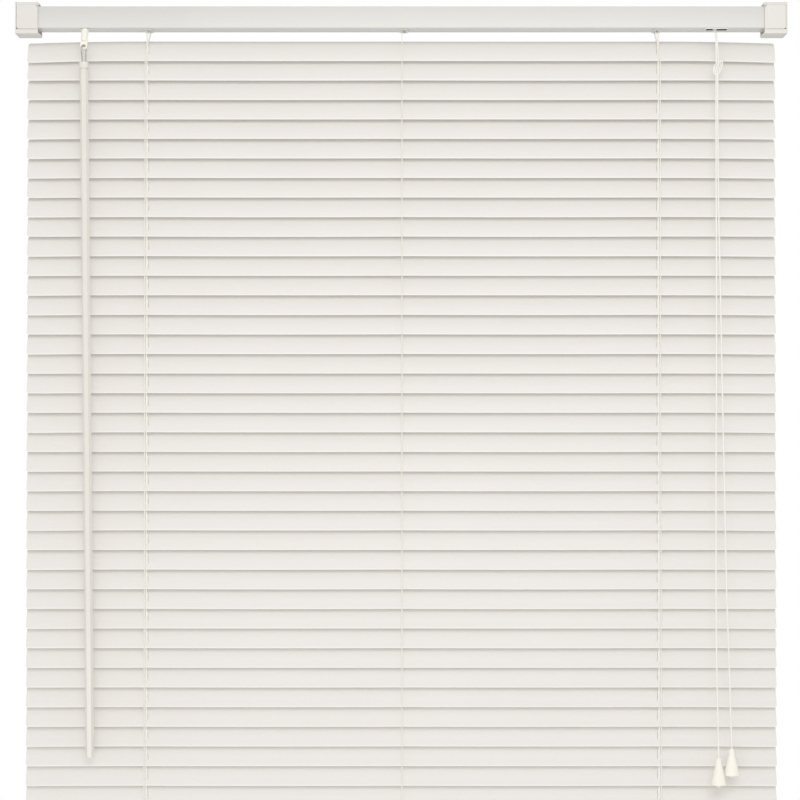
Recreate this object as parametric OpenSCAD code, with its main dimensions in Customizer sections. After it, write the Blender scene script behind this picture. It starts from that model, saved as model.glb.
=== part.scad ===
// Venetian blind with vinyl slats, hung between two box brackets.
// Millimetres. +Z is up, +Y points into the wall and the room is on the -Y side.
// The origin is the centre of the four wall screw holes, in the plane of the wall.

/* [Overall] */
// Width over the two brackets
overall_w = 862; // [600:1:1200]
// Number of slats
slat_count = 39; // [5:1:39]
// Height from one slat to the next
slat_pitch = 21.9; // [20:0.1:23.5]
// Height from the first slat up to the middle of the headrail
first_drop = 35.5; // [33:0.5:45]
// Slope of the closed slats from the level, front edge down
closed_angle = 67.5; // [50:0.5:70]

/* [Slats] */
// Width of a slat
slat_w = 25; // [22:0.5:26]
// Thickness of a slat
slat_t = 0.6; // [0.4:0.1:1]
// Height of the crown across a slat
slat_crown = 1.5; // [1:0.1:2]
// Radius of a slat's corners
slat_corner_r = 2.5; // [1:0.5:5]
// How far each slat stops short of the headrail's end
slat_inset = 9.5; // [5:0.5:20]
// Length of a route hole, across the slat
route_l = 12.5; // [10:0.5:14]
// Width of a route hole
route_w = 3.8; // [3.4:0.1:5]

/* [Headrail] */
// Depth of the headrail, front to back
head_d = 25; // [24:0.5:26]
// Height of the headrail
head_h = 24.5; // [23:0.5:25]
// Thickness of its sheet
head_t = 0.7; // [0.5:0.1:1]
// Width of the lips turned in at the top
head_lip = 3; // [2:0.5:4]
// Outer radius of the lower bends
head_bend_r = 1.4; // [1.2:0.1:2]
// Gap from the headrail's end to the bracket wall
head_end_gap = 1; // [0.5:0.5:3]

/* [Brackets] */
// Inside width a bracket covers at the headrail's end
bracket_w = 25.5; // [22:0.5:30]
// Height of a bracket above the middle of the headrail
bracket_top = 17; // [16.5:0.5:20]
// Height of a bracket below the middle of the headrail
bracket_bottom = 18.2; // [17:0.2:22]
// Depth of a bracket, from the wall
bracket_d = 29; // [29:0.5:32]
// Wall thickness of a bracket
bracket_t = 1.5; // [1.2:0.1:1.8]
// Radius of a screw hole
screw_r = 2.2; // [1.5:0.1:2.5]
// Distance between the two screw holes of a back wall
screw_spacing = 16; // [10:1:20]
// Distance between the two screw holes of a top plate
top_screw_spacing = 10; // [8:1:12]
// Distance between the two screw holes of a side wall
side_screw_spacing = 12; // [10:1:14]

/* [Door] */
// Thickness of a bracket's door
door_t = 1.2; // [1:0.1:1.4]
// Outer radius of the door's hinge barrel
barrel_r = 2.2; // [2:0.1:2.4]
// Radius of the hinge pin
pin_r = 0.9; // [0.7:0.1:1.1]
// Radius of the door's lower outer corner
door_corner_r = 2.5; // [1:0.5:4]

/* [Tilt works] */
// Side of the square tilt rod
rod_side = 4; // [3:0.5:4]
// Radius of a ladder drum
drum_r = 5.8; // [5:0.1:6]
// Radius of a drum's flanges
flange_r = 6.6; // [6.2:0.1:6.8]
// Radius of a drum's journals
journal_r = 3.2; // [3.2:0.1:3.4]
// Width of a drum between its flanges
drum_w = 3; // [2:0.5:3]
// Teeth on the tilt gear
gear_teeth = 12; // [8:1:16]
// Outer radius of the tilt gear
gear_r = 3.9; // [3.4:0.1:3.9]
// Width of the tilt gear
gear_w = 7; // [5:0.5:9]
// Outer radius of the worm
worm_r = 1.8; // [1.5:0.1:1.8]
// Distance of the outer lift cords from the headrail's ends
ladder_inset = 141.8; // [100:0.1:180]
// Distance of the tilter and the cord lock from the headrail's ends
control_inset = 76.5; // [65:0.5:90]

/* [Wand] */
// Length of the wand
wand_l = 772; // [300:1:900]
// Width of the hexagonal wand, over its corners
wand_w = 9.2; // [7:0.1:9.4]
// Lean of the wand to the right
wand_lean = 0.6; // [-0.8:0.1:0.8]
// Thickness of the hook's wire
hook_d = 1.4; // [1:0.1:1.4]
// Height of the collar round the wand's neck
collar_h = 7; // [4:0.5:9]
// Radius of the tilter's eye
eye_r = 2.4; // [2.4:0.1:2.6]
// Thickness of the tilter's eye
eye_t = 1.8; // [1.4:0.1:1.9]

/* [Cords] */
// Thickness of the lift cords
cord_d = 1.6; // [1.2:0.1:1.8]
// Thickness of the ladder cords
ladder_d = 1; // [0.7:0.1:1.2]
// Length of a tassel
tassel_l = 29.5; // [20:0.5:30]
// Widest radius of a tassel
tassel_r = 8.3; // [5:0.1:8.3]
// Radius of the knot that joins the pull cords
stop_r = 4.5; // [3:0.5:6]

/* [Bottom rail] */
// Thickness of the bottom rail
rail_t = 9; // [7:0.5:12]
// Wall thickness of the bottom rail
rail_wall = 1.2; // [1:0.1:1.6]
// Thickness of an end cap's flange
cap_t = 1.5; // [1:0.1:2]
// Radius of a ladder button
button_r = 5; // [4:0.5:6]

/* [Hidden] */
slip = 0.2; // clearance between pieces that slide or sit in one another
touch = 0.1; // gap between pieces that rest against each other
round_fn = 48;

function slat_name(i) = str("slat_", i < 10 ? "0" : "", i);

// Headrail: a channel that stands off the bracket's back wall
head_l = overall_w - 2 * (bracket_t + head_end_gap);
head_y = -2 - head_d / 2;
head_floor = head_t - head_h / 2;
rail_gap = head_bend_r - head_t; // what stands in the headrail keeps clear of its bends
control_x = head_l / 2 - control_inset;
tilter_x = -control_x - 1.4;

// Ladder stations: where each stands along the headrail, and which side its ladder cord is on
station_x = head_l / 2 - ladder_inset;
stations = [[3.2 - station_x, -1], [2.8, 1], [station_x, 1]];

// Slats: a pivot line for each, one under another
slat_l = head_l - 2 * slat_inset;
slat_y = head_y;
function slat_z(i) = -first_drop - (i - 1) * slat_pitch;
rail_z = slat_z(slat_count + 1);
crown_r = (slat_w * slat_w / 4 + slat_crown * slat_crown) / (2 * slat_crown);

// Cords: the ladder cords run beside the slats' edges, the lift cords through the route holes.
// From its drum an outer ladder leans across to its lift cord, and stands on both sides of it.
ladder_cord_dx = -2;
front_cord_dx = 3.2;
rear_cord_dx = 0.4;
lift_cord_dx = 1.6;
ladder_xs = [for (s = stations) s[0] + s[1] * ladder_cord_dx];
lift_xs = [for (s = [stations[0], stations[2]]) s[0] + s[1] * lift_cord_dx];
front_xs = [stations[0][0] - front_cord_dx, ladder_xs[1], stations[2][0] + front_cord_dx];
rear_xs = [stations[0][0] - rear_cord_dx, ladder_xs[1], stations[2][0] + rear_cord_dx];
route_xs = [lift_xs[0] + 0.9, lift_xs[1] - 0.9];
edge_y = cos(closed_angle) * slat_w / 2;
edge_z = sin(closed_angle) * slat_w / 2;
ladder_off = ladder_d / 2 + slat_t * sin(closed_angle) + 0.15;
front_cord_y = slat_y - edge_y - ladder_off;
rear_cord_y = slat_y + edge_y + ladder_off;
lift_y = slat_y - 1.8;
run_y = -16.9; // beside a drum, the lift cords stand further forward

// Tilt rod and drums
rod_y = -12;
rod_z = -2;
flange_t = 0.8;
drum_left = ladder_cord_dx - drum_w / 2 - flange_t;
drum_right = ladder_cord_dx + drum_w / 2 + flange_t;
journal_out = 6.4;
// The journal on the lift cord's side is thinner, so that the cord can pass it
thin_journal_r = 2.9;
cradle_left = -6.2;
cradle_right = 4.2;
cradle_t = 1.4;
cradle_base_t = 1.5;
grommet_y = -12.8;
grommet_l = 19;
grommet_w = 8;

// Tilter: its shaft leans out to the room, and its eye hangs in front of the slats
eye_y = -33.2;
eye_z = -33.5;
shaft_lean = atan2(10.2, 22);
shaft_exit = 24.25;
shaft_r = 2.6;
neck_r = 3.9;
eye_out_r = 3.9;
worm_mid = shaft_exit + 13.2;
worm_l = 12;
tilter_w = 22;
tilter_z1 = 8;

// Wand: hangs from the tilter's eye by a bow of wire that stands askew
wand_top = -18;
wand_neck_r = 4;
hook_turn = 55;
hook_side = [[2.4, -24], [2.6, -18], [3.2, -11], [3.8, -5], [3.6, -2.2], [2.8, -0.7], [1.5, 0.3]];

// Cord lock, at the headrail's right end, and the roller that grips the cords
lock_x0 = control_x - 14;
lock_x1 = control_x + 16;
lock_y0 = head_y - head_d / 2 + head_t + rail_gap;
lock_y1 = -12;
lock_z1 = 7;
lock_t = 1.4;
guide_r = 1.7;
guide_x = control_x - 3.8;
guide_z = 1.2;
turn_r = 2.8;
roller_r = 2.4;
axle_r = 1;
roller_x = guide_x + turn_r + 3.4;
roller_z = -4;
roller_travel = 3;
roller_lean = 30;
lock_cord_ys = [-21.6, -19.4];

// Route of the lift cords along the headrail, and of the pull cords in front of the slats
run_z = guide_z + turn_r;
exit_x = guide_x + turn_r;
exit_z = -12.5;
pull_y = -32;
stop_pos = [exit_x + 1, pull_y, -57];
pull_top_left = [[exit_x, -21.6, exit_z], [exit_x, -21.6, exit_z - 1],
    [exit_x, -25, -20], [exit_x, -30, -33], [exit_x - 0.3, pull_y, -42], [exit_x, pull_y, -52.3]];
pull_top_right = [[exit_x, -19.4, exit_z], [exit_x, -19.4, exit_z - 1],
    [exit_x + 1.4, -23.5, -20], [exit_x + 1.8, -29.6, -33],
    [exit_x + 2, pull_y, -42], [exit_x + 1.8, pull_y, -52.3]];

// The two free strands below the knot: X from the exit, then Z; they lean out evenly to their tassels
pull_left = [[-0.4, -61.7], [-0.6, -110], [-0.7, -170], [-0.7, -230], [-0.8, -300], [-1, -370],
    [-1.4, -440], [-1.9, -510], [-2.2, -580], [-2.3, -650], [-2, -710], [-1, -765], [0, -823.4]];
pull_right = [[1.4, -61.7], [1.4, -110], [1.6, -170], [2.3, -230], [3.6, -300], [4.8, -370],
    [6, -440], [7.4, -510], [8.6, -580], [10, -650], [12, -710], [13.6, -765], [14.9, -813.4]];
tassels = [[exit_x, -39, -823.5], [exit_x + 14.9, -36, -813.5]];
function strand(path, foot) = let (z0 = path[0][1], z1 = path[len(path) - 1][1])
    [for (p = path) [exit_x + p[0], pull_y + (foot[1] - pull_y) * (p[1] - z0) / (z1 - z0), p[1]]];

// A block between two opposite corners
module block(from, to) {
    translate(from) cube(to - from);
}

// A cylinder along Y, from y0 to y1
module rod_y(x, z, r, y0, y1) {
    translate([x, y0, z]) rotate([-90, 0, 0]) cylinder(r = r, h = y1 - y0, $fn = round_fn);
}

// A cylinder along X, from x0 to x1
module rod_x(y, z, r, x0, x1) {
    translate([x0, y, z]) rotate([0, 90, 0]) cylinder(r = r, h = x1 - x0, $fn = round_fn);
}

// A 2-D outline drawn in Y and Z, drawn out along X
module along_x(length) {
    rotate([90, 0, 90]) translate([0, 0, -length / 2]) linear_extrude(length) children();
}

// A 2-D slot with round ends, along Y
module slot_2d(length, width) {
    square([width, length - width], center = true);
    for (end = [-1, 1]) translate([0, end * (length - width) / 2]) circle(d = width, $fn = round_fn);
}

// A 2-D rectangle whose two lower corners are round
module round_foot(w, h, r) {
    translate([0, r]) square([w, h - r]);
    translate([r, 0]) square([w - 2 * r, h]);
    for (x = [r, w - r]) translate([x, r]) circle(r = r, $fn = round_fn);
}

function unit(v) = v / norm(v);
function heading(path, i) =
    let (a = path[max(i - 1, 0)], b = path[min(i + 1, len(path) - 1)]) unit(b - a);
function cord_ring(centre, along, side, r, sides) =
    let (u = unit(cross(along, side)), v = cross(along, u))
    [for (k = [0 : sides - 1]) centre + r * (cos(360 * k / sides) * u + sin(360 * k / sides) * v)];

// Places what is drawn for one ladder at its station
module at_station(s) {
    translate([s[0], 0, 0]) if (s[1] > 0) children(); else mirror([1, 0, 0]) children();
}

// A round cord along a path; side is a direction that the path never takes
module cord(path, d, side = [0, 1, 0], sides = 8) {
    last = len(path) - 1;
    points = [for (i = [0 : last]) each cord_ring(path[i], heading(path, i), side, d / 2, sides)];
    wall = [for (i = [0 : last - 1], k = [0 : sides - 1]) let (a = i * sides, b = a + sides, n = (k + 1) % sides)
        [a + k, a + n, b + n, b + k]];
    start = [for (k = [0 : sides - 1]) sides - 1 - k];
    end = [for (k = [0 : sides - 1]) last * sides + k];
    polyhedron(points = points, faces = concat(wall, [start, end]), convexity = 4);
}

// Steel channel, open at the top, with holes in its floor for the ladders, the tilter and the lock
module headrail() {
    color("#e9e6e0") difference() {
        translate([0, head_y, 0]) along_x(head_l) translate([-head_d / 2, -head_h / 2]) difference() {
            round_foot(head_d, head_h, head_bend_r);
            translate([head_t, head_t])
                round_foot(head_d - 2 * head_t, head_h - 2 * head_t, head_bend_r - head_t);
            translate([head_lip, head_h - 2 * head_t]) square([head_d - 2 * head_lip, 3 * head_t]);
        }
        for (s = stations) translate([s[0], grommet_y, -head_h / 2 - 1])
            linear_extrude(3) slot_2d(grommet_l, grommet_w);
        block([tilter_x - 5.2, -26.4, -head_h / 2 - 1], [tilter_x + 5.2, -19, head_floor + 1]);
        block([lock_x0 + 3, -25.6, -head_h / 2 - 1], [lock_x1 - 3, -14, head_floor + 1]);
    }
}

hinge_y = -bracket_d + barrel_r - 0.4;
hinge_z = bracket_top - barrel_r;
bracket_x1 = overall_w / 2;
bracket_x0 = bracket_x1 - bracket_w;
screw_x = bracket_x1 - bracket_w / 2;
lip_top = -head_h / 2 - 1.3;

// Moulded box bracket of the right end: side, back, top and bottom, a front lip and a hinge pin
module bracket() {
    difference() {
        union() {
            block([bracket_x1 - bracket_t, -bracket_d, -bracket_bottom], [bracket_x1, 0, bracket_top]);
            block([bracket_x0, -bracket_t, -bracket_bottom], [bracket_x1, 0, bracket_top]);
            block([bracket_x0, hinge_y + 4.2, bracket_top - bracket_t], [bracket_x1, 0, bracket_top]);
            block([bracket_x0, -bracket_d, -bracket_bottom], [bracket_x1, 0, bracket_t - bracket_bottom]);
            block([bracket_x0, -bracket_d, -bracket_bottom], [bracket_x1, bracket_t - bracket_d, lip_top]);
            for (x = [bracket_x0 + 3, bracket_x1 - 6])
                block([x, -26, -bracket_bottom], [x + bracket_t, -2, -head_h / 2 - slip]);
            block([bracket_x0, hinge_y, hinge_z - barrel_r + 0.5],
                [bracket_x0 + bracket_t, hinge_y + 6, bracket_top]);
            rod_x(hinge_y, hinge_z, barrel_r, bracket_x0, bracket_x0 + bracket_t);
            rod_x(hinge_y, hinge_z, pin_r, bracket_x0, bracket_x1 - bracket_t / 2);
        }
        for (side = [-1, 1]) {
            rod_y(screw_x, side * screw_spacing / 2, screw_r, -bracket_t - 1, 1);
            translate([screw_x, -11 + side * top_screw_spacing / 2, bracket_top - bracket_t - 1])
                cylinder(r = screw_r, h = bracket_t + 2, $fn = round_fn);
            rod_x(slat_y + side * side_screw_spacing / 2, 0, screw_r,
                bracket_x1 - bracket_t - 1, bracket_x1 + 1);
        }
    }
}

module bracket_right() {
    color("#eeebe4") bracket();
}

module bracket_left() {
    color("#e8e5dd") mirror([1, 0, 0]) bracket();
}

// Door of the right bracket: a panel that hangs from a barrel round the bracket's pin
module door() {
    panel_x0 = bracket_x0 + slip;
    panel_x1 = bracket_x1 - bracket_t - 0.3;
    panel_z0 = lip_top + 0.4;
    panel_w = panel_x1 - panel_x0;
    panel_h = hinge_z - panel_z0;
    difference() {
        union() {
            rod_x(hinge_y, hinge_z, barrel_r, bracket_x0 + bracket_t + slip, panel_x1);
            translate([panel_x0, -bracket_d + door_t + 0.1, panel_z0])
                rotate([90, 0, 0]) linear_extrude(door_t) difference() {
                    union() {
                        translate([0, door_corner_r]) square([panel_w, panel_h - door_corner_r]);
                        square([panel_w - door_corner_r, panel_h]);
                        translate([panel_w - door_corner_r, door_corner_r])
                            circle(r = door_corner_r, $fn = round_fn);
                    }
                    translate([-1, panel_h - barrel_r - slip - 0.4])
                        square([bracket_t + slip + 1, barrel_r + 1]);
                }
        }
        rod_x(hinge_y, hinge_z, pin_r + slip, bracket_x0 - 1, bracket_x1);
    }
}

module door_right() {
    color("#ebe8e1") door();
}

module door_left() {
    color("#e7e4dd") mirror([1, 0, 0]) door();
}

// Turns and places what is drawn about the tilter's shaft, whose eye is at the origin
module on_shaft() {
    translate([tilter_x, eye_y, eye_z]) rotate([-shaft_lean, 0, 0]) children();
}

// Open box in the headrail that holds the worm against the gear
module tilter_housing() {
    x0 = tilter_x - tilter_w / 2;
    x1 = tilter_x + tilter_w / 2;
    y0 = head_y - head_d / 2 + head_t + rail_gap;
    y1 = head_y + head_d / 2 - head_t - rail_gap;
    z0 = head_floor + touch;
    wall = 1.6;
    color("#e3dfd0") difference() {
        union() {
            difference() {
                block([x0, y0, z0], [x1, y1, tilter_z1]);
                block([x0 + wall, y0 + wall, z0 + wall], [x1 - wall, y1 - wall, tilter_z1 + 1]);
            }
            for (side = [-1, 1]) translate([tilter_x + side * 4.3, 0, 0])
                block([-0.6, -25, -head_h / 2 - 0.9], [0.6, -20.5, z0 + 1]);
        }
        on_shaft() cylinder(r = shaft_r + 0.4, h = worm_mid + 12, $fn = round_fn);
        rod_x(rod_y, rod_z, journal_r + slip, x0 - 1, x1 + 1);
    }
}

// Shaft with the worm's rings at its top and the wand's eye at its foot
module tilter_worm() {
    turns = 6;
    step = worm_l / turns;
    color("#efecdd") on_shaft() difference() {
        union() {
            rod_y(0, 0, eye_out_r, -eye_t / 2, eye_t / 2);
            block([-eye_out_r, -eye_t / 2, 0], [eye_out_r, eye_t / 2, 7]);
            translate([0, 0, 5.5]) cylinder(r = neck_r, h = 16, $fn = round_fn);
            translate([0, 0, 5.5]) cylinder(r = shaft_r, h = 25, $fn = round_fn);
            translate([0, 0, 5.5]) cylinder(r = 1.1, h = worm_mid + worm_l / 2 - 4, $fn = round_fn);
            translate([0, 0, worm_mid - worm_l / 2]) rotate_extrude($fn = round_fn)
                polygon(concat([[0, 0]],
                    [for (k = [0 : turns - 1]) each [[1.2, k * step], [worm_r, (k + 0.35) * step],
                        [worm_r, (k + 0.65) * step], [1.2, (k + 1) * step]]],
                    [[0, worm_l]]));
        }
        rod_y(0, 0, eye_r, -eye_t, eye_t);
    }
}

// Square steel rod along the headrail, with the tilt gear fixed at its left end
module tilt_rod() {
    tooth = 360 / gear_teeth;
    color("#b9bab8") {
        block([tilter_x - tilter_w / 2 + 2, rod_y - rod_side / 2, rod_z - rod_side / 2],
            [station_x + 20, rod_y + rod_side / 2, rod_z + rod_side / 2]);
        translate([tilter_x, rod_y, rod_z]) rotate([0, 90, 0])
            translate([0, 0, -gear_w / 2]) linear_extrude(gear_w)
                polygon([for (k = [0 : gear_teeth - 1], p = [[gear_r - 0.9, -0.3], [gear_r, -0.14],
                    [gear_r, 0.14], [gear_r - 0.9, 0.3]])
                    p[0] * [cos((k + p[1]) * tooth), sin((k + p[1]) * tooth)]]);
    }
}

// Three drums that turn with the rod and carry the ladders
module ladder_drums() {
    color("#f2f0ea") for (s = stations) at_station(s) difference() {
        union() {
            rod_x(rod_y, rod_z, drum_r, drum_left, drum_right);
            rod_x(rod_y, rod_z, flange_r, drum_left, drum_left + flange_t);
            rod_x(rod_y, rod_z, flange_r, drum_right - flange_t, drum_right);
            rod_x(rod_y, rod_z, journal_r, cradle_left - 0.5, drum_left);
            rod_x(rod_y, rod_z, thin_journal_r, drum_right, journal_out);
        }
        block([-10, rod_y - rod_side / 2 - touch, rod_z - rod_side / 2 - touch],
            [10, rod_y + rod_side / 2 + touch, rod_z + rod_side / 2 + touch]);
    }
}

// Three saddles on the headrail's floor: two notched uprights and a grommet round the cords
module drum_cradles() {
    z0 = head_floor + touch;
    z1 = z0 + cradle_base_t;
    y0 = head_y - head_d / 2 + head_t + rail_gap;
    y1 = head_y + head_d / 2 - head_t - rail_gap;
    color("#eeece4") for (s = stations) at_station(s) difference() {
        union() {
            block([cradle_left, y0, z0], [cradle_right + cradle_t, y1, z1]);
            for (side = [cradle_left, cradle_right])
                block([side, rod_y - 5.5, z0], [side + cradle_t, rod_y + 5.5, rod_z + 2]);
            translate([0, grommet_y, -head_h / 2 - 1]) linear_extrude(z1 + head_h / 2 + 1)
                slot_2d(grommet_l - 0.4, grommet_w - 0.4);
            translate([0, grommet_y, -head_h / 2 - 1]) linear_extrude(0.9)
                slot_2d(grommet_l + 2, grommet_w + 2);
        }
        translate([0, grommet_y, -head_h / 2 - 2]) linear_extrude(8)
            slot_2d(grommet_l - 2.4, grommet_w - 2.4);
        rod_x(rod_y, rod_z, journal_r + slip, cradle_left - 1, cradle_right + cradle_t + 1);
        block([cradle_left - 1, rod_y - journal_r - slip, rod_z],
            [cradle_right + cradle_t + 1, rod_y + journal_r + slip, rod_z + 5]);
    }
}

// Places what is drawn about the wand's own axis, with the tilter's eye at the origin
module on_wand() {
    translate([tilter_x, eye_y, eye_z]) rotate([0, -wand_lean, 0]) children();
}

// Collar round the wand's neck, which keeps the hook in
module wand_collar() {
    color("#efece3") on_wand() translate([0, 0, wand_top - collar_h]) difference() {
        cylinder(r = wand_neck_r + 1.2, h = collar_h, $fn = round_fn);
        translate([0, 0, -1]) cylinder(r = wand_neck_r + slip, h = collar_h + 2, $fn = round_fn);
    }
}

// Hexagonal wand, with the bow of wire that hangs it from the tilter's eye
module wand() {
    bow = concat([for (p = hook_side) [-p[0], 0, p[1]]], [[0, 0, 0.6]],
        [for (k = [len(hook_side) - 1 : -1 : 0]) [hook_side[k][0], 0, hook_side[k][1]]]);
    color("#f1eee6") on_wand() {
        difference() {
            union() {
                translate([0, 0, wand_top - wand_l])
                    cylinder(d = wand_w, h = wand_l - collar_h - slip, $fn = 6);
                translate([0, 0, wand_top - collar_h - 1])
                    cylinder(r = wand_neck_r, h = collar_h + 1, $fn = round_fn);
            }
            rotate([0, 0, hook_turn]) block([-3.7, -hook_d / 2 - touch, wand_top - 6.5],
                [3.7, hook_d / 2 + touch, wand_top + 1]);
        }
        rotate([0, 0, hook_turn]) cord(bow, hook_d, sides = 10);
    }
}

// Cord lock: an open frame on the headrail's floor with a guide pin and two leaning slots
module cord_lock() {
    z0 = head_floor + touch;
    slot_x = roller_travel * sin(roller_lean);
    slot_z = roller_travel * cos(roller_lean);
    color("#e6e3d8") difference() {
        union() {
            for (y = [lock_y0, lock_y1 - lock_t]) block([lock_x0, y, z0], [lock_x1, y + lock_t, lock_z1]);
            block([lock_x0, lock_y0, z0], [lock_x1, lock_y1, z0 + 1.6]);
            block([lock_x1 - lock_t, lock_y0, z0], [lock_x1, lock_y1, lock_z1]);
            block([exit_x - 1.9, lock_y0 + 1.2, -head_h / 2 - 0.5], [exit_x + 1.9, -15, z0 + 1]);
            rod_y(guide_x, guide_z, guide_r, lock_y0 + 1, lock_y1 - 1);
        }
        for (y = lock_cord_ys) translate([exit_x, y, -head_h / 2 - 2])
            cylinder(r = cord_d / 2 + 0.25, h = 6, $fn = round_fn);
        block([lock_x0 + 4, lock_y0 + 1.6, -head_h / 2 - 2], [exit_x - 1.9, -15, z0 + 3]);
        block([exit_x + 1.9, lock_y0 + 1.6, -head_h / 2 - 2], [lock_x1 - 4, -15, z0 + 3]);
        for (end = [0, 1])
            rod_y(roller_x + end * slot_x, roller_z + end * slot_z, axle_r + slip,
                lock_y0 - 1, lock_y1 + 1);
        translate([roller_x, 0, roller_z]) rotate([0, roller_lean, 0])
            block([-axle_r - slip, lock_y0 - 1, 0], [axle_r + slip, lock_y1 + 1, roller_travel]);
    }
}

// Knurled roller that rides in the lock's slots
module cord_lock_roller() {
    color("#c8a86a") {
        rod_y(roller_x, roller_z, roller_r, lock_y0 + lock_t + slip, lock_y1 - lock_t - slip);
        rod_y(roller_x, roller_z, axle_r, lock_y0 + 0.3, lock_y1 - 0.3);
    }
}

// The two lift cords, from the bottom rail's knots up through the slats and along to the lock
module lift_cords() {
    color("#f6f4ec") for (c = [0, 1]) {
        x = lift_xs[c];
        y = lock_cord_ys[c];
        cord(concat(
            [[x, slat_y - 0.6, rail_z + 1.9], [x, lift_y, rail_z + 7], [x, lift_y, -24],
             [x, run_y, -10], [x, run_y, 1.8], [x + 0.5, run_y, 3.6],
             [x + 2.4, run_y - 0.3, run_z + 0.5], [x + 24, y, run_z], [guide_x - 6, y, run_z]],
            [for (a = [90 : -30 : 0]) [guide_x + turn_r * cos(a), y, guide_z + turn_r * sin(a)]],
            [[exit_x, y, exit_z + touch]]), cord_d);
    }
}

// The free ends of the same cords, from the lock down to the tassels
module pull_cords() {
    color("#f6f4ec") {
        for (path = [pull_top_left, pull_top_right]) cord(path, cord_d, side = [1, 0, 0]);
        cord(strand(pull_left, tassels[0]), cord_d, side = [1, 0, 0]);
        cord(strand(pull_right, tassels[1]), cord_d, side = [1, 0, 0]);
    }
}

// Two bell tassels and the knot that ties the pull cords together
module tassels_and_stop() {
    color("#f0eddd") {
        for (top = tassels) translate(top) rotate_extrude($fn = round_fn)
            polygon([[0, 0], [2.3, 0], [2.7, -1.5], [3.4, -6], [0.62 * tassel_r, -0.45 * tassel_l],
                [0.87 * tassel_r, -0.75 * tassel_l], [tassel_r, -0.94 * tassel_l], [tassel_r, -tassel_l],
                [tassel_r - 1.2, -tassel_l], [tassel_r - 1.8, 2 - tassel_l], [1.8, 2 - tassel_l],
                [1.8, -tassel_l - 2.5], [0, -tassel_l - 2.5]]);
        translate(stop_pos) sphere(r = stop_r, $fn = round_fn);
    }
}

// Front cords of the three ladders
module ladder_front() {
    color("#f4f1e8") for (k = [0 : 2]) let (drum_x = ladder_xs[k], x = front_xs[k])
        cord([[drum_x, rod_y - drum_r - ladder_d / 2 - touch, rod_z],
              [drum_x, rod_y - drum_r - 0.7, -head_h / 2],
              [x, front_cord_y, slat_z(1) - edge_z], [x, front_cord_y, rail_z - edge_z - 1]],
             ladder_d, side = [1, 0, 0]);
}

// Rear cords of the three ladders
module ladder_rear() {
    color("#f4f1e8") for (k = [0 : 2]) let (drum_x = ladder_xs[k], x = rear_xs[k])
        cord([[drum_x, rod_y + drum_r + ladder_d / 2 + touch, rod_z],
              [drum_x, rod_y + drum_r - 0.9, -head_h / 2],
              [x, rear_cord_y, slat_z(1) + edge_z], [x, rear_cord_y, rail_z + edge_z + 0.7]],
             ladder_d, side = [1, 0, 0]);
}

// Turns and places what is drawn flat about a slat's pivot line
module tilted(z) {
    translate([0, slat_y, z]) rotate([closed_angle, 0, 0]) children();
}

// Knots at the ends of the lift cords, on the bottom rail's pivot line
module lift_knots() {
    color("#f6f4ec") for (x = lift_xs) translate([x, slat_y, rail_z]) sphere(r = 1.7, $fn = round_fn);
}

// Hollow bottom rail with its two end caps and three ladder buttons
module bottom_rail() {
    inner_w = slat_w - 2 * rail_wall;
    inner_t = rail_t - 2 * rail_wall;
    color("#e9e6e0") tilted(rail_z) {
        difference() {
            along_x(slat_l) translate([-slat_w / 2, -rail_t]) difference() {
                round_foot(slat_w, rail_t, 2);
                translate([rail_wall, rail_wall]) square([inner_w, inner_t]);
            }
            for (x = lift_xs) translate([x, 0, -rail_wall - 0.5]) cylinder(r = 2.1, h = 3, $fn = round_fn);
        }
        for (side = [-1, 1]) {
            translate([side * (slat_l / 2 + touch + cap_t / 2), 0, 0]) along_x(cap_t)
                translate([-slat_w / 2, -rail_t]) round_foot(slat_w, rail_t, 2);
            translate([side * (slat_l / 2 + touch - 3), 0, -rail_t / 2])
                cube([6, inner_w - 2 * slip, inner_t - 2 * slip], center = true);
        }
        for (k = [0 : 2]) translate([(front_xs[k] + rear_xs[k]) / 2, 0, -rail_t - touch - 1.2])
            cylinder(r = button_r, h = 1.2, $fn = round_fn);
    }
}

// One crowned slat with round corners and a route hole at each lift cord
module slat(i) {
    color("#e9e6df") tilted(slat_z(i)) difference() {
        intersection() {
            along_x(slat_l) translate([0, slat_crown - crown_r]) difference() {
                circle(r = crown_r, $fn = 200);
                circle(r = crown_r - slat_t, $fn = 200);
            }
            translate([0, 0, -3]) linear_extrude(6) {
                square([slat_l, slat_w - 2 * slat_corner_r], center = true);
                square([slat_l - 2 * slat_corner_r, slat_w], center = true);
                for (sx = [-1, 1], sy = [-1, 1])
                    translate([sx * (slat_l / 2 - slat_corner_r), sy * (slat_w / 2 - slat_corner_r)])
                        circle(r = slat_corner_r, $fn = round_fn);
            }
        }
        for (x = route_xs) translate([x, 0, -4]) linear_extrude(8) slot_2d(route_l, route_w);
    }
}

headrail();
bracket_left();
bracket_right();
door_left();
door_right();
tilter_housing();
tilter_worm();
tilt_rod();
ladder_drums();
drum_cradles();
wand_collar();
wand();
cord_lock();
cord_lock_roller();
lift_cords();
pull_cords();
tassels_and_stop();
ladder_front();
ladder_rear();
lift_knots();
bottom_rail();
for (i = [1 : slat_count]) slat(i);
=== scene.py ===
import math
import random

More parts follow.
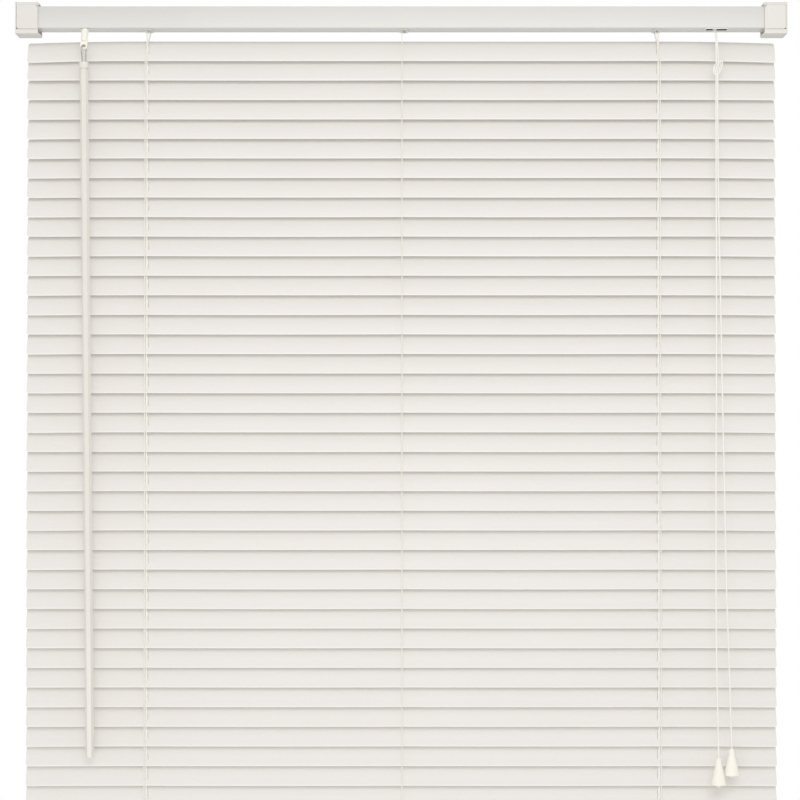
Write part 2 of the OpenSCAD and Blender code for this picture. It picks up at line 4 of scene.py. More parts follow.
import bmesh
import bpy
import numpy as np
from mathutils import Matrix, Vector


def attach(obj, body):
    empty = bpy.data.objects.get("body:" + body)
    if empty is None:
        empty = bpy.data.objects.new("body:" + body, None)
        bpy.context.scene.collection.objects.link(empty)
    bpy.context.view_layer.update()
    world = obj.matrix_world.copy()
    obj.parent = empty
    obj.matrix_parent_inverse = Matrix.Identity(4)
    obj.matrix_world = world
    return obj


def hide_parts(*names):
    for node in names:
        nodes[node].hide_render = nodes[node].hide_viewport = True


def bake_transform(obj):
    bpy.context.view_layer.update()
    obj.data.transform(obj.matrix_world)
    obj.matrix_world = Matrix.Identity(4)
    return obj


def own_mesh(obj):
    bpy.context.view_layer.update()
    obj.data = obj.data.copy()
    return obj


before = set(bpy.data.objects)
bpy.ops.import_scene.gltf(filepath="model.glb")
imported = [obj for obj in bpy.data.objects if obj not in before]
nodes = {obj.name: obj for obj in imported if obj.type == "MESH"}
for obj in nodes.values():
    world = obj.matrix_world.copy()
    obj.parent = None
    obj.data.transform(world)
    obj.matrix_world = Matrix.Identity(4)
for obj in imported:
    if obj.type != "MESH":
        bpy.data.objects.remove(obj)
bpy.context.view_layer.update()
scene = bpy.context.scene

# Camera: on a long lens 2.3 m in front of the wall, at half the blind's height, so that the
# headrail's underside shows and the bottom rail stays below the picture.
lens = bpy.data.cameras.new("camera")
lens.lens = 90.9
lens.sensor_width = 36
lens.clip_end = 50
camera = bpy.data.objects.new("camera", lens)
camera.location = (-0.0014, -2.277, -0.454)
camera.rotation_euler = (math.radians(90.68), 0, 0)
scene.collection.objects.link(camera)
scene.camera = camera


# Cord: braided polyester 1.6 mm thick. One tree sweeps a tube along any set of routes, and keeps
# how far along and how far round each point is; the braid is drawn from that.
def colour(code):
    channels = [int(code[i:i + 2], 16) / 255 for i in (1, 3, 5)]
    return [c / 12.92 if c < 0.04045 else ((c + 0.055) / 1.055) ** 2.4 for c in channels] + [1]


def node(tree, kind, inputs=(), **settings):
    made = tree.nodes.new(kind)
    for key, value in settings.items():
        setattr(made, key, value)
    for key, value in dict(inputs).items():
        if isinstance(value, bpy.types.NodeSocket):
            tree.links.new(value, made.inputs[key])
        else:
            made.inputs[key].default_value = value
    return made


def surface(name):
    material = bpy.data.materials.new(name)
    material.use_nodes = True
    tree = material.node_tree
    tree.nodes.clear()
    return material, tree


def finish_surface(tree, base, roughness, normal, **extra):
    shader = node(tree, "ShaderNodeBsdfPrincipled", {"Base Color": base, "Roughness": roughness,
                                                     "Normal": normal, **extra})
    node(tree, "ShaderNodeOutputMaterial", {"Surface": shader.outputs[0]})


# Braid of 16 carriers: two crossing helices raise the surface and shade the gaps. It gives the eye a
# matt, slightly knobbly line; the lay is drawn at 2.5 mm, a little coarser than the real one.
def braided(name, code, shade):
    lay_length, ridges = 0.0025, 4
    material, tree = surface(name)
    lay = node(tree, "ShaderNodeAttribute", attribute_name="lay")
    place = node(tree, "ShaderNodeSeparateXYZ", {0: lay.outputs["Vector"]})
    turns = node(tree, "ShaderNodeMath", {0: place.outputs[0], 1: 2 * math.pi / lay_length},
                 operation="MULTIPLY")
    round_it = node(tree, "ShaderNodeMath", {0: place.outputs[1], 1: 2 * math.pi * ridges},
                    operation="MULTIPLY")
    right = node(tree, "ShaderNodeMath", {0: turns.outputs[0], 1: round_it.outputs[0]}, operation="ADD")
    left = node(tree, "ShaderNodeMath", {0: turns.outputs[0], 1: round_it.outputs[0]}, operation="SUBTRACT")
    one = node(tree, "ShaderNodeMath", {0: right.outputs[0]}, operation="SINE")
    two = node(tree, "ShaderNodeMath", {0: left.outputs[0]}, operation="SINE")
    weave = node(tree, "ShaderNodeMath", {0: one.outputs[0], 1: two.outputs[0]}, operation="MAXIMUM")
    height = node(tree, "ShaderNodeMapRange", {"Value": weave.outputs[0], "From Min": -1.0})
    base = node(tree, "ShaderNodeMix", {"Factor": height.outputs[0], "A": colour(shade), "B": colour(code)},
                data_type="RGBA")
    bump = node(tree, "ShaderNodeBump", {"Height": height.outputs[0], "Strength": 0.5, "Distance": 0.0002})
    finish_surface(tree, base.outputs["Result"], 0.75, bump.outputs[0], **{"Sheen Weight": 0.15})
    return material


cord_finish = braided("braided_polyester_cord", "#fffef8", "#f1eee4")


def strand_tree():
    tree = bpy.data.node_groups.new("strand", "GeometryNodeTree")
    tree.interface.new_socket("Geometry", in_out="OUTPUT", socket_type="NodeSocketGeometry")
    tree.interface.new_socket("Routes", in_out="INPUT", socket_type="NodeSocketGeometry")
    tree.interface.new_socket("Radius", in_out="INPUT", socket_type="NodeSocketFloat")
    tree.interface.new_socket("Step", in_out="INPUT", socket_type="NodeSocketFloat")
    tree.interface.new_socket("Sides", in_out="INPUT", socket_type="NodeSocketInt")
    tree.interface.new_socket("Finish", in_out="INPUT", socket_type="NodeSocketMaterial")
    given = node(tree, "NodeGroupInput").outputs
    line = node(tree, "GeometryNodeMeshToCurve", {"Mesh": given["Routes"]})
    even = node(tree, "GeometryNodeResampleCurve", {"Curve": line.outputs[0], "Length": given["Step"]},
                mode="LENGTH")
    along = node(tree, "GeometryNodeSplineParameter")
    marked = node(tree, "GeometryNodeCaptureAttribute", domain="POINT")
    marked.capture_items.new("FLOAT", "Along")
    tree.links.new(even.outputs[0], marked.inputs[0])
    tree.links.new(along.outputs["Length"], marked.inputs[1])
    ring = node(tree, "GeometryNodeCurvePrimitiveCircle",
                {"Resolution": given["Sides"], "Radius": given["Radius"]})
    about = node(tree, "GeometryNodeSplineParameter")
    rounded = node(tree, "GeometryNodeCaptureAttribute", domain="POINT")
    rounded.capture_items.new("FLOAT", "Round")
    tree.links.new(ring.outputs[0], rounded.inputs[0])
    tree.links.new(about.outputs["Factor"], rounded.inputs[1])
    swept = node(tree, "GeometryNodeCurveToMesh",
                 {"Curve": marked.outputs[0], "Profile Curve": rounded.outputs[0], "Fill Caps": True})
    lay = node(tree, "ShaderNodeCombineXYZ", {0: marked.outputs[1], 1: rounded.outputs[1]})
    stored = node(tree, "GeometryNodeStoreNamedAttribute",
                  {"Geometry": swept.outputs[0], "Name": "lay", "Value": lay.outputs[0]},
                  data_type="FLOAT_VECTOR")
    smooth = node(tree, "GeometryNodeSetShadeSmooth", {"Geometry": stored.outputs[0]})
    painted = node(tree, "GeometryNodeSetMaterial",
                   {"Geometry": smooth.outputs[0], "Material": given["Finish"]})
    node(tree, "NodeGroupOutput", {"Geometry": painted.outputs[0]})
    return tree


strand = strand_tree()


def sockets(tree):
    return {s.name: s.identifier for s in tree.interface.items_tree if s.in_out == "INPUT"}


def baked(name, mesh, tree, **settings):
    source = bpy.data.objects.new(name + "_source", mesh)
    scene.collection.objects.link(source)
    maker = source.modifiers.new("maker", "NODES")
    maker.node_group = tree
    for key, value in settings.items():
        maker[sockets(tree)[key.capitalize()]] = value
    bpy.context.view_layer.update()
    made = bpy.data.meshes.new_from_object(source.evaluated_get(bpy.context.evaluated_depsgraph_get()))
    bpy.data.objects.remove(source)
    made.name = name
    piece = bpy.data.objects.new(name, made)
    scene.collection.objects.link(piece)
    return piece


def tube(name, routes, radius, finish, step=0.002, sides=10):
    line = bpy.data.meshes.new(name + "_route")
    points = [tuple(p) for route in routes for p in route]
    edges, first = [], 0
    for route in routes:
        edges += [(first + i, first + i + 1) for i in range(len(route) - 1)]
        first += len(route)
    line.from_pydata(points, edges, [])
    return baked(name, line, strand, radius=radius, step=step, sides=sides, finish=finish)


def rounded_route(points, samples=8):
    pts = [Vector(p) for p in points]
    pts = [pts[0] * 2 - pts[1]] + pts + [pts[-1] * 2 - pts[-2]]
    out = []
    for i in range(1, len(pts) - 2):
        a, b, c, d = pts[i - 1:i + 3]
        for k in range(samples):
            t = k / samples
            out.append(0.5 * ((2 * b) + (c - a) * t + (2 * a - 5 * b + 4 * c - d) * t * t
                              + (3 * b - a - 3 * c + d) * t ** 3))
    return out + [pts[-2]]


def mm(*values):
    return Vector(values) / 1000


# Pull cords: two strands of the braided cord come out of the lock side by side, lean out to the
# knot, then hang apart to their tassels, the right one 10 mm shorter.
exit_x, exit_z, pull_y = 351, -12.5, -32
strand_y = {"left": -21.6, "right": -19.4}
cord_d = 0.0016
upper = {
    "left": [(exit_x, strand_y["left"], exit_z), (exit_x, strand_y["left"], exit_z - 1), (exit_x, -25, -20),
             (exit_x, -30, -33), (exit_x - 0.3, pull_y, -42), (exit_x, pull_y, -52.3)],
    "right": [(exit_x, strand_y["right"], exit_z), (exit_x, strand_y["right"], exit_z - 1),
              (exit_x + 1.4, -23.5, -20), (exit_x + 1.8, -29.6, -33), (exit_x + 2, pull_y, -42),
              (exit_x + 1.8, pull_y, -52.3)]}
lower = {
    "left": [(-0.4, -61.7), (-0.6, -110), (-0.7, -170), (-0.7, -230), (-0.8, -300), (-1, -370), (-1.4, -440),
             (-1.9, -510), (-2.2, -580), (-2.3, -650), (-2, -710), (-1, -765), (0, -823.4)],
    "right": [(1.4, -61.7), (1.4, -110), (1.6, -170), (2.3, -230), (3.6, -300), (4.8, -370), (6, -440),
              (7.4, -510), (8.6, -580), (10, -650), (12, -710), (13.6, -765), (14.9, -813.4)]}
tassel_top = {"left": (exit_x, -39, -823.5), "right": (exit_x + 14.9, -36, -813.5)}

cords = {}
for side in ("left", "right"):
    route = rounded_route([mm(*p) for p in upper[side]])
    cord = tube("pull_cord_upper_" + side, [route], cord_d / 2, cord_finish, step=0.0008)
    cords["upper", side] = (cord, route)
    first, last, foot = lower[side][0][1], lower[side][-1][1], tassel_top[side][1]
    route = rounded_route([mm(exit_x + x, pull_y + (foot - pull_y) * (z - first) / (last - first), z)
                           for x, z in lower[side]])
    cords["lower", side] = (tube("pull_cord_lower_" + side, [route], cord_d / 2, cord_finish), route)


# Knot: a loose overhand knot in both strands. Each comes in at the top, goes down the left, round
# below and up the right, and crosses in front of itself on its way out.
knot_z = -57
knot_turns = [
    [(-1, 0, 4.9), (-2.6, -0.8, 2.5), (-4.2, -1, -1), (-4.2, -0.6, -5), (-1.8, 0.2, -8),
     (1.6, 1.2, -6.8), (3.8, 0.8, -2.4), (5.4, -0.6, 3), (4.6, -1.8, 6.4), (1.6, -2.4, 5.2),
     (-0.6, -2.4, 1.8), (-1.5, -1.4, -1.8), (-1.4, 0, -4.9)],
    [(0.8, 0.4, 4.9), (-0.9, 0, 2.2), (-2.6, -0.2, -1.2), (-2.6, 0.2, -4.4), (-1, 1, -6.4),
     (0.8, 1.8, -5.2), (2.4, 1.4, -1.8), (3.8, 0.6, 2.6), (3.4, -0.6, 4.9), (1.8, -1.2, 3.8),
     (0.8, -1.4, 0.8), (0.5, -0.7, -2.2), (0.4, 0, -4.9)]]
knot = tube("pull_cord_knot",
            [rounded_route([mm(exit_x + 1 + x, pull_y + y, knot_z + z) for x, y, z in turns])
             for turns in knot_turns], cord_d / 2, cord_finish, step=0.0006)
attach(knot, "tassels")


# Tassels: moulded bells with a rolled rim and a hollow foot, turned here from one outline. Each is
# held by the end of its cord, which is knotted inside.
#
# Moulded plastic: an even colour with a faint mottle, and a fine grain that softens the gloss.
def plastic(name, code, roughness, grain=9000.0, depth=0.00002, mottle=0.03):
    material, tree = surface(name)
    place = node(tree, "ShaderNodeTexCoord").outputs["Object"]
    fine = node(tree, "ShaderNodeTexNoise", {"Vector": place, "Scale": grain / 10, "Detail": 3.0})
    broad = node(tree, "ShaderNodeTexNoise", {"Vector": place, "Scale": 9.0, "Detail": 2.0})
    tone = node(tree, "ShaderNodeMapRange",
                {"Value": broad.outputs[0], "To Min": 1 - mottle, "To Max": 1 + mottle})
    base = node(tree, "ShaderNodeVectorMath", {0: colour(code)[:3], "Scale": tone.outputs[0]},
                operation="SCALE")
    sheen = node(tree, "ShaderNodeMapRange", {"Value": fine.outputs[0], "To Min": roughness - 0.05,
                                              "To Max": roughness + 0.05})
    bump = node(tree, "ShaderNodeBump", {"Height": fine.outputs[0], "Strength": 0.35, "Distance": depth})
    finish_surface(tree, base.outputs[0], sheen.outputs[0], bump.outputs[0], IOR=1.49)
    return material


ivory = plastic("ivory_moulding", "#fdfaed", 0.35)


def turned(name, outline, at, finish, sides=64):
    shape = bmesh.new()
    angles = [2 * math.pi * k / sides for k in range(sides)]
    rings = []
    for r, z in outline:
        if r == 0:
            rings.append([shape.verts.new(at + mm(0, 0, z))] * sides)
        else:
            rings.append([shape.verts.new(at + mm(r * math.cos(a), r * math.sin(a), z)) for a in angles])
    for a, b in zip(rings, rings[1:]):
        for k in range(sides):
            corners = []
            for v in (a[k], b[k], b[(k + 1) % sides], a[(k + 1) % sides]):
                if v not in corners:
                    corners.append(v)
            if len(corners) > 2:
                shape.faces.new(corners)
    mesh = bpy.data.meshes.new(name)
    bmesh.ops.recalc_face_normals(shape, faces=shape.faces)
    shape.to_mesh(mesh)
    shape.free()
    mesh.shade_smooth()
    mesh.set_sharp_from_angle(angle=math.radians(40))
    mesh.materials.append(finish)
    piece = bpy.data.objects.new(name, mesh)
    scene.collection.objects.link(piece)
    return piece


bell = [(0, 0), (1.9, 0), (2.35, -0.2), (2.55, -0.7), (2.7, -2), (3.1, -5), (3.8, -8.5), (4.8, -12.5),
        (5.9, -17), (6.9, -21.5), (7.6, -25), (8.0, -27.2), (8.2, -28.2), (8.3, -28.9), (8.2, -29.3),
        (7.9, -29.5), (7.2, -29.5), (6.9, -29.2), (6.6, -27.5), (5.6, -24), (3.2, -21), (1.9, -20.5),
        (1.8, -31.6), (1.5, -32), (0, -32)]
tassels = {side: turned("tassel_" + side, bell, mm(*tassel_top[side]), ivory) for side in tassel_top}
for side, tassel in tassels.items():
    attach(tassel, "tassels")
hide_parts("tassels_and_stop")

for (part, side), (cord, route) in cords.items():
    if part == "upper":
        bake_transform(cord)
    else:
        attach(cord, "tassels")
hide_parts("pull_cords")

# Floor and light: a pale floor well below the blind, one broad soft light above the camera,
# a weaker one low at the left, and a surround that is white all round and greyer above and below.
paper, tree = surface("white_paper")
place = node(tree, "ShaderNodeTexCoord").outputs["Object"]
mottle = node(tree, "ShaderNodeTexNoise", {"Vector": place, "Scale": 3.0})
tone = node(tree, "ShaderNodeMapRange", {"Value": mottle.outputs[0], "To Min": 0.7, "To Max": 0.74})
grey = node(tree, "ShaderNodeCombineColor", {0: tone.outputs[0], 1: tone.outputs[0], 2: tone.outputs[0]})
finish_surface(tree, grey.outputs[0], 0.9, node(tree, "ShaderNodeNewGeometry").outputs["Normal"])
floor_z, near, far, half = -1.75, -5, 4.4, 5
mesh = bpy.data.meshes.new("floor")
mesh.from_pydata([(-half, near, floor_z), (half, near, floor_z), (half, far, floor_z), (-half, far, floor_z)],
                 [], [(0, 1, 2, 3)])
mesh.materials.append(paper)
floor = bpy.data.objects.new("floor", mesh)
scene.collection.objects.link(floor)


def soft_light(name, place, aim, size, power):
    lamp = bpy.data.lights.new(name, "AREA")
    lamp.shape = "RECTANGLE"
    lamp.size, lamp.size_y = size
    lamp.energy = power
    light = bpy.data.objects.new(name, lamp)
    light.location = place
    light.rotation_euler = (Vector(aim) - Vector(place)).to_track_quat("-Z", "Y").to_euler()
    scene.collection.objects.link(light)


soft_light("key", (0.2, -2.2, 0.7), (0, 0, -0.75), (1.4, 0.8), 11)
soft_light("fill", (-0.5, -2.0, -1.15), (0, 0, -0.85), (1.4, 0.5), 5)
world = bpy.data.worlds.new("studio")
world.use_nodes = True
sky = world.node_tree
back = sky.nodes["Background"]
aim = node(sky, "ShaderNodeSeparateXYZ", {0: node(sky, "ShaderNodeTexCoord").outputs["Generated"]})
below = node(sky, "ShaderNodeMapRange", {"Value": aim.outputs[2], "From Min": -0.3, "From Max": -0.24,
                                         "To Min": 0.4, "To Max": 1.0})
above = node(sky, "ShaderNodeMapRange", {"Value": aim.outputs[2], "From Min": 0.2, "From Max": 0.4,
                                         "To Min": 1.0, "To Max": 0.7})
both = node(sky, "ShaderNodeMath", {0: below.outputs[0], 1: above.outputs[0]}, operation="MULTIPLY")
sky.links.new(both.outputs[0], back.inputs[1])
back.inputs[0].default_value = (1, 1, 1, 1)
scene.world = world
scene.view_settings.view_transform = "Standard"

# Slats: 25 mm strips of extruded vinyl with a crown, lying on their ladders. Each sags a little
# between its ladders, droops past the outer ones, and leans more or less than its neighbours.
slat_count = 39
slat_y, first_z, pitch = -14.5, -35.5, 21.9
closed = math.radians(67.5)
random.seed(8)


# Extruded alabaster vinyl: the fine grain of the die, a painted highlight on the lip, and painted shade near
# the upper edge, where the slat above covers it. "across" is how far a point is over the slat, in mm.
def slat_finish(name, code):
    material = plastic(name, code, 0.42, grain=12000.0, mottle=0.012)
    tree = material.node_tree
    shader = tree.nodes["Principled BSDF"]
    across = node(tree, "ShaderNodeAttribute", attribute_name="across").outputs["Fac"]
    # painted highlight: the colour is a tenth brighter along the lip
    painted_lip_highlight = node(tree, "ShaderNodeMapRange", {"Value": across, "From Min": -12.0, "From Max": -10.5,
                                            "To Min": 1.1, "To Max": 1.0})
    # painted shade: the colour darkens towards the upper edge, under the lip of the slat above
    painted_shade = node(tree, "ShaderNodeMapRange", {"Value": across, "From Min": 7.0, "From Max": 12.0,
                                             "To Min": 1.0, "To Max": 0.78})
    both = node(tree, "ShaderNodeMath", {0: painted_lip_highlight.outputs[0], 1: painted_shade.outputs[0]}, operation="MULTIPLY")
    plain = shader.inputs["Base Color"].links[0].from_socket
    toned = node(tree, "ShaderNodeVectorMath", {0: plain, "Scale": both.outputs[0]}, operation="SCALE")
    tree.links.new(toned.outputs[0], shader.inputs["Base Color"])
    return material


slat_vinyl = slat_finish("alabaster_vinyl", "#ebe8e3")


def slat_z(i):
    return first_z - (i - 1) * pitch


def strip_of(node_name):
    cuts_a_side, cut_step = 23, 17.9
    shape = bmesh.new()
    shape.from_mesh(nodes[node_name].data)
    bmesh.ops.remove_doubles(shape, verts=shape.verts, dist=2e-6)
    for k in range(-cuts_a_side, cuts_a_side + 1):
        bmesh.ops.bisect_plane(shape, geom=shape.verts[:] + shape.edges[:] + shape.faces[:], dist=1e-7,
                               plane_co=mm(k * cut_step, 0, 0), plane_no=(1, 0, 0))
    bmesh.ops.triangulate(shape, faces=[f for f in shape.faces if len(f.verts) > 4])
    mesh = bpy.data.meshes.new("slat")
    shape.to_mesh(mesh)
    shape.free()
    return mesh


flat_strip = strip_of("slat_01")
rest = np.empty(len(flat_strip.vertices) * 3)
flat_strip.vertices.foreach_get("co", rest)
rest = rest.reshape(-1, 3) * 1000
across = (rest[:, 1] - slat_y) * math.cos(closed) + (rest[:, 2] - slat_z(1)) * math.sin(closed)
flat_strip.attributes.new("across", "FLOAT", "POINT").data.foreach_set("value", across.astype(np.float32))


half_slat = 419


def sag(x, droop, belly):
    middle, outer_ladder, half_bay = 1.6, 285, 142
    out = np.abs(x - middle)
    past = np.clip((out - outer_ladder) / (half_slat - outer_ladder), 0, 1)
    between = np.clip(1 - ((out - half_bay) / half_bay) ** 2, 0, 1)
    return -droop * past ** 2 - belly * between


def slat_piece(i):
    droop = 2.4 if i == 1 else random.uniform(0.2, 0.9)
    belly = random.uniform(0.05, 0.35)
    lean = math.radians(random.uniform(-0.7, 0.7))
    twist = math.radians(random.uniform(-0.5, 0.5))
    mesh = flat_strip.copy()
    p = rest.copy()
    p[:, 2] -= slat_z(1)
    p[:, 1] -= slat_y
    a = lean + twist * p[:, 0] / half_slat
    y, z = p[:, 1] * np.cos(a) - p[:, 2] * np.sin(a), p[:, 1] * np.sin(a) + p[:, 2] * np.cos(a)
    p[:, 1] = slat_y + y
    p[:, 2] = slat_z(i) + z + sag(p[:, 0], droop, belly)
    mesh.vertices.foreach_set("co", (p / 1000).ravel())
    mesh.materials.clear()
    mesh.materials.append(slat_vinyl)
    mesh.shade_smooth()
    mesh.set_sharp_from_angle(angle=math.radians(35))
    piece = bpy.data.objects.new(f"strip_{i:02d}", mesh)
    scene.collection.objects.link(piece)
    return piece


def gather(piece):
    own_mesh(piece)


for i in range(1, slat_count + 1):
    name = f"slat_{i:02d}"
    piece = slat_piece(i)
    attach(piece, name)
    gather(piece)
    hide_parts(name)

# Rungs: under each slat, two fine cords of the same braid join the front and rear cords of each
# ladder. They part a little in the middle, where the lift cord passes between them.
front_xs, rear_xs = (-286.7, 0.8, 289.9), (-283.9, 0.8, 287.1)
fine_cord = braided("fine_ladder_cord", "#fffdf5", "#efebe0")
rung_half = 13.1


def rung_routes(i):
    routes = []
    for front, rear in zip(front_xs, rear_xs):
        for apart in (-1.3, 1.3):
            ends = [(-rung_half, -0.2), (-12.6, -0.85), (0, -0.95), (12.6, -0.85), (rung_half, -0.2)]
            routes.append([mm(front + (rear - front) * (s + rung_half) / (2 * rung_half)
                              + apart * (1 - abs(s) / 14),
                              slat_y + s * math.cos(closed) - n * math.sin(closed),
                              slat_z(i) + s * math.sin(closed) + n * math.cos(closed)) for s, n in ends])
    return routes


for i in range(1, slat_count + 1):
    piece = tube(f"rungs_{i:02d}", rung_routes(i), 0.0003, fine_cord, step=0.003, sides=6)
    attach(piece, f"slat_{i:02d}")
    gather(piece)

# Ladder cords: at the slats' edges, from the bottom rail to the drums in the headrail. An outer
# ladder leans from its drum to its lift cord, and stands on both sides of it.
rod_y, rod_z, drum_r = -12, -2, 5.8
drum_xs = (-281.5, 0.8, 284.7)
edge_y, edge_z = 12.5 * math.cos(closed), 12.5 * math.sin(closed)
rail_z = slat_z(slat_count + 1)
for place, sign, xs in (("front", -1, front_xs), ("rear", 1, rear_xs)):
    line_y = slat_y + sign * (edge_y + 0.65 + 0.6 * math.sin(closed))
    top_z = slat_z(1) + sign * edge_z
    drum_y = rod_y + sign * (drum_r + 0.6)
    hole_y = rod_y - drum_r - 0.7 if sign < 0 else rod_y + drum_r - 0.9
    tops = [[mm(drum, drum_y, rod_z), mm(drum, hole_y, -12.25), mm(x, line_y, top_z)]
            for drum, x in zip(drum_xs, xs)]
    low_z = rail_z + sign * edge_z - (1 if sign < 0 else -0.7)
    drops = [[mm(x, line_y, top_z - (top_z - low_z) * k / 160) for k in range(161)] for x in xs]
    top = tube("ladder_top_" + place, tops, 0.0005, fine_cord, step=0.0015, sides=8)
    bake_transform(top)
    drop = tube("ladder_drop_" + place, drops, 0.0005, fine_cord, step=0.003, sides=8)
    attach(drop, "ladder_" + place)
    gather(drop)
    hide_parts("ladder_" + place)

# Lift cords: the braided cord again, up from the knots in the rail through the slats' slots, then
# along the headrail and over the lock's roller, where the pull cords begin.
lift_y, run_y, run_z, guide_x, guide_z, turn_r = -16.3, -16.9, 4.0, 348.2, 1.2, 2.8
for side, x in (("left", -285.1), ("right", 288.3)):
    y = strand_y[side]
    drop_route = [mm(x, -15.1, rail_z + 1.9), mm(x, lift_y, rail_z + 7), mm(x, lift_y, -24),
                  mm(x, run_y - 0.1, exit_z)]
    drop = tube("lift_cord_drop_" + side, [drop_route], cord_d / 2, cord_finish, step=0.003)
    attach(drop, "headrail_assembly")
    gather(drop)
    run_route = [mm(x, run_y - 0.1, exit_z), mm(x, run_y, -10), mm(x, run_y, 1.8),
                 mm(x + 0.5, run_y, 3.6), mm(x + 2.4, run_y - 0.3, run_z + 0.5), mm(x + 24, y, run_z),
                 mm(guide_x - 6, y, run_z)]
    for degrees in (90, 75, 60, 45, 30, 15, 0):
        a = math.radians(degrees)
        run_route.append(mm(guide_x + turn_r * math.cos(a), y, guide_z + turn_r * math.sin(a)))
    run_route += [mm(guide_x + turn_r, y, -12.4)]
    run = tube("lift_cord_run_" + side, [run_route], cord_d / 2, cord_finish, step=0.001)
    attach(run, "headrail_assembly")
    if side == "left":
        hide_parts("lift_cords")


# Headrail: a rolled steel channel between two moulded box brackets with hinged doors, and the tilt
# works and cord lock that snap into it. These keep their modelled shapes and get their finishes here.
#
# Baked enamel: smooth and half glossy, with painted shade that greys it towards the top.
def enamel(name, code):
    material, tree = surface(name)
    place = node(tree, "ShaderNodeTexCoord").outputs["Object"]
    fine = node(tree, "ShaderNodeTexNoise", {"Vector": place, "Scale": 700.0, "Detail": 2.0})
    broad = node(tree, "ShaderNodeTexNoise", {"Vector": place, "Scale": 6.0})
    tone = node(tree, "ShaderNodeMapRange", {"Value": broad.outputs[0], "To Min": 0.985, "To Max": 1.015})
    high = node(tree, "ShaderNodeSeparateXYZ", {0: place}).outputs[2]
    # painted shade: the colour darkens towards the top of the rail
    painted_shade = node(tree, "ShaderNodeMapRange", {"Value": high, "From Min": -0.009, "From Max": 0.0125,
                                             "To Min": 1.0, "To Max": 0.88})
    tone_and_painted_shade = node(tree, "ShaderNodeMath", {0: tone.outputs[0], 1: painted_shade.outputs[0]}, operation="MULTIPLY")
    base = node(tree, "ShaderNodeVectorMath", {0: colour(code)[:3], "Scale": tone_and_painted_shade.outputs[0]},
                operation="SCALE")
    sheen = node(tree, "ShaderNodeMapRange", {"Value": fine.outputs[0], "To Min": 0.3, "To Max": 0.42})
    bump = node(tree, "ShaderNodeBump", {"Height": fine.outputs[0], "Strength": 0.2, "Distance": 0.00002})
    finish_surface(tree, base.outputs[0], sheen.outputs[0], bump.outputs[0], IOR=1.5, **{"Coat Weight": 0.1})
    return material


# Drawn metal: bright, with fine scratches that run the way it was drawn and stretch its highlight.
def drawn_metal(name, code, roughness, along):
    material, tree = surface(name)
    place = node(tree, "ShaderNodeTexCoord").outputs["Object"]
    stretch = node(tree, "ShaderNodeMapping", {"Vector": place, "Scale": along})
    lines = node(tree, "ShaderNodeTexNoise", {"Vector": stretch.outputs[0], "Scale": 900.0, "Detail": 2.0})
    sheen = node(tree, "ShaderNodeMapRange", {"Value": lines.outputs[0], "To Min": roughness - 0.08,
                                              "To Max": roughness + 0.08})
    bump = node(tree, "ShaderNodeBump", {"Height": lines.outputs[0], "Strength": 0.3, "Distance": 0.00002})
    finish_surface(tree, colour(code), sheen.outputs[0], bump.outputs[0], Metallic=1.0)
    return material


def dress(name, finish):
    mesh = nodes[name].data
    mesh.materials.clear()
    mesh.materials.append(finish)


moulding = plastic("off_white_moulding", "#e7e3dc", 0.34)
dress("headrail", enamel("off_white_enamel", "#e1dfda"))
for name in ("bracket_left", "bracket_right", "door_left", "door_right"):
    dress(name, moulding)
for name in ("tilter_housing", "drum_cradles", "cord_lock"):
    dress(name, plastic("natural_nylon_" + name, "#f0ede2", 0.5))
lock_face_z = -0.0118  # above it the lock's case is painted black inside the opening, as painted shade
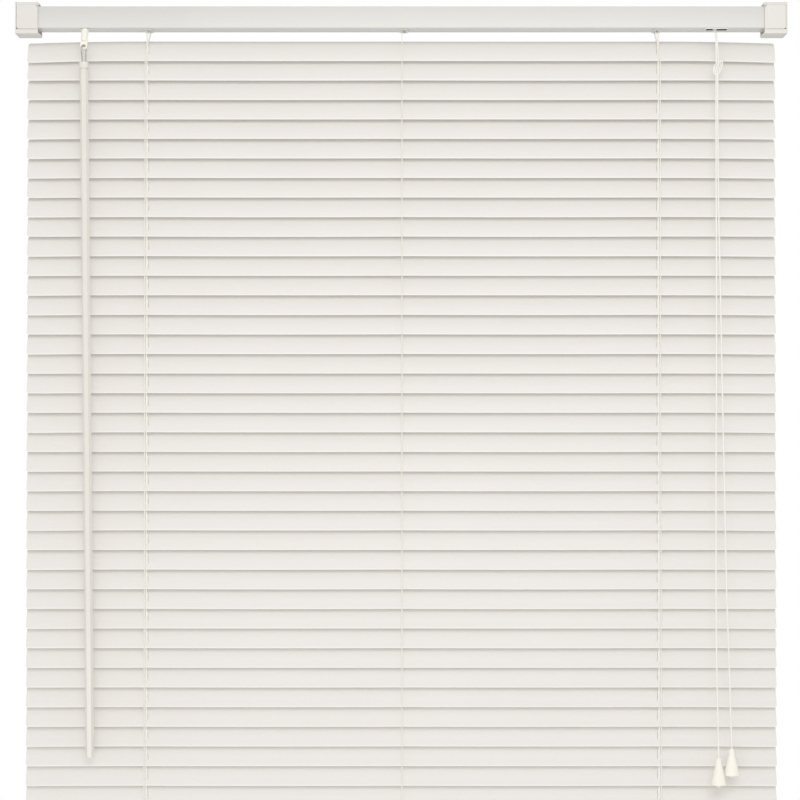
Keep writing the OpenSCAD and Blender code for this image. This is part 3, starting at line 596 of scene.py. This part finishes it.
# painted shade: the faces inside the lock's opening are coloured near black
nodes["cord_lock"].data.materials.append(plastic("painted_shade_lock_inside", "#191816", 0.5, mottle=0.1))
for face in nodes["cord_lock"].data.polygons:
    if face.center.z > lock_face_z:
        face.material_index = 1
dress("ladder_drums", plastic("white_acetal", "#f1efe9", 0.4))
dress("tilter_worm", ivory)
dress("tilt_rod", drawn_metal("zinc_plated_steel", "#b4b5b2", 0.38, (0.02, 1, 1)))
dress("cord_lock_roller", drawn_metal("knurled_brass", "#c9a663", 0.35, (1, 0.05, 1)))
dress("lift_knots", cord_finish)
dress("bottom_rail", plastic("rail_vinyl", "#edeae5", 0.4, mottle=0.012))

# Wand: a glossy hexagonal plastic extrusion under a short collar, with a bow of plated wire at its
# top that hooks through the tilter's eye.
wand_plastic = plastic("glossy_extrusion", "#e9e5dc", 0.22, mottle=0.01)
dress("wand_collar", wand_plastic)
dress("wand", wand_plastic)
wire_foot_z = -0.0514
nodes["wand"].data.materials.append(drawn_metal("plated_wire", "#a9a9a4", 0.25, (1, 1, 0.05)))
for face in nodes["wand"].data.polygons:
    if face.center.z > wire_foot_z:
        face.material_index = 1


# Lock's rim: a bright moulded frame with round corners, under the headrail and round the opening
# that the pull cords come out of.
def rim(name, x0, x1, y0, y1, wide, z0, z1, finish):
    inner_r = 1.2
    shape = bmesh.new()
    corners = [(x0, y0), (x1, y0), (x1, y1), (x0, y1)]
    loops = []
    for grow in (0, wide):
        outline = []
        for k, (x, y) in enumerate(corners):
            sx, sy = (-1, 1, 1, -1)[k], (-1, -1, 1, 1)[k]
            r = inner_r + grow
            for step in range(7):
                a = math.radians((225 + 90 * k - 45) + 15 * step)
                outline.append((x - sx * inner_r + r * math.cos(a), y - sy * inner_r + r * math.sin(a)))
        loops.append(outline)
    rings = [[shape.verts.new(mm(x, y, z)) for x, y in loops[outer]]
             for outer, z in ((0, z0), (1, z0), (1, z1), (0, z1))]
    for a, b in zip(rings, rings[1:] + rings[:1]):
        for k in range(len(a)):
            shape.faces.new((a[k], b[k], b[(k + 1) % len(b)], a[(k + 1) % len(a)]))
    bmesh.ops.recalc_face_normals(shape, faces=shape.faces)
    mesh = bpy.data.meshes.new(name)
    shape.to_mesh(mesh)
    shape.free()
    mesh.materials.append(finish)
    piece = bpy.data.objects.new(name, mesh)
    scene.collection.objects.link(piece)
    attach(piece, "headrail_assembly")


rim("lock_rim", 341.2, 364.8, -25.8, -14.2, 0.9, -12.8, -12.2,
    plastic("white_moulded_rim", "#fbfaf5", 0.4))
